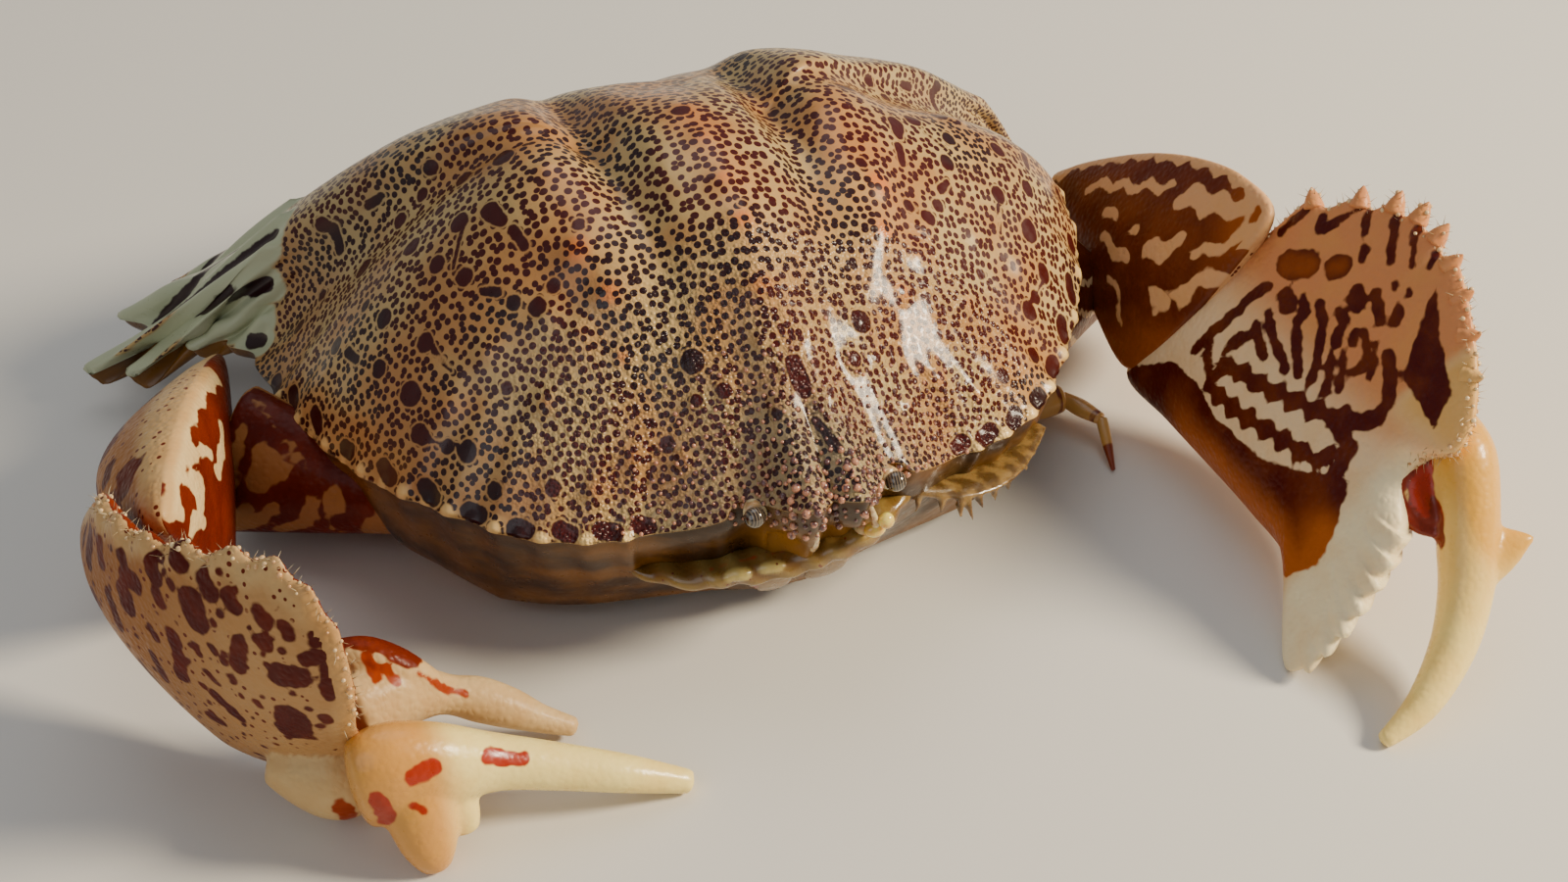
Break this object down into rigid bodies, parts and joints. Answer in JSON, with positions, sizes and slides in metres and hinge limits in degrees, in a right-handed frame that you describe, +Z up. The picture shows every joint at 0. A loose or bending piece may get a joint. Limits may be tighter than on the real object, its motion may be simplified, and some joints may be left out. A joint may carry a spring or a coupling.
{
  "type": "box crab",
  "caption": "Still life-size box crab with a domed shell, winged hind corners, crested claws held forward and walking legs tucked underneath.",
  "frame": {"origin": "centre of the bounding box's floor plane, on the surface that the crab rests on", "axes": "+Z up, -Y towards the front of the crab, +X towards the crab's own left"},
  "size_m": [0.1324, 0.1072, 0.0407],
  "materials": {
    "shell": "wet, granular shell, tan cream with maroon dots, dark bars and cream ribs on the wings",
    "claw": "wet shell, pinkish outside with maroon spots, dark red-brown and white inside",
    "finger": "smooth ivory with orange and brown blotches",
    "underside": "smooth yellow-brown, faintly mottled",
    "limb": "smooth yellowish with reddish ends",
    "mouth": "amber with reddish freckles and pale ovals",
    "eye": "clear glossy cornea over fine dark stripes"
  },
  "bodies": {
    "root": {"carapace": "shell", "merus_left": "claw", "merus_right": "claw", "carpus_left": "claw", "carpus_right": "claw", "palm_left": "claw", "palm_right": "claw", "dactyl_left": "finger", "dactyl_right": "finger", "sternum": "underside", "abdomen": "underside", "ischium_left": "limb", "ischium_right": "limb", "leg1_merus_left": "limb", "leg1_merus_right": "limb", "leg1_carpus_left": "limb", "leg1_carpus_right": "limb", "leg1_propodus_left": "limb", "leg1_propodus_right": "limb", "leg1_dactyl_left": "limb", "leg1_dactyl_right": "limb", "leg2_merus_left": "limb", "leg2_merus_right": "limb", "leg2_carpus_left": "limb", "leg2_carpus_right": "limb", "leg2_propodus_left": "limb", "leg2_propodus_right": "limb", "leg2_dactyl_left": "limb", "leg2_dactyl_right": "limb", "leg3_merus_left": "limb", "leg3_merus_right": "limb", "leg3_carpus_left": "limb", "leg3_carpus_right": "limb", "leg3_propodus_left": "limb", "leg3_propodus_right": "limb", "leg3_dactyl_left": "limb", "leg3_dactyl_right": "limb", "leg4_merus_left": "limb", "leg4_merus_right": "limb", "leg4_carpus_left": "limb", "leg4_carpus_right": "limb", "leg4_propodus_left": "limb", "leg4_propodus_right": "limb", "leg4_dactyl_left": "limb", "leg4_dactyl_right": "limb", "antenna_left": "mouth", "antenna_right": "mouth", "maxilliped_left": "mouth", "maxilliped_right": "mouth", "eye_left": "eye", "eye_right": "eye"}
  },
  "joints": []
}
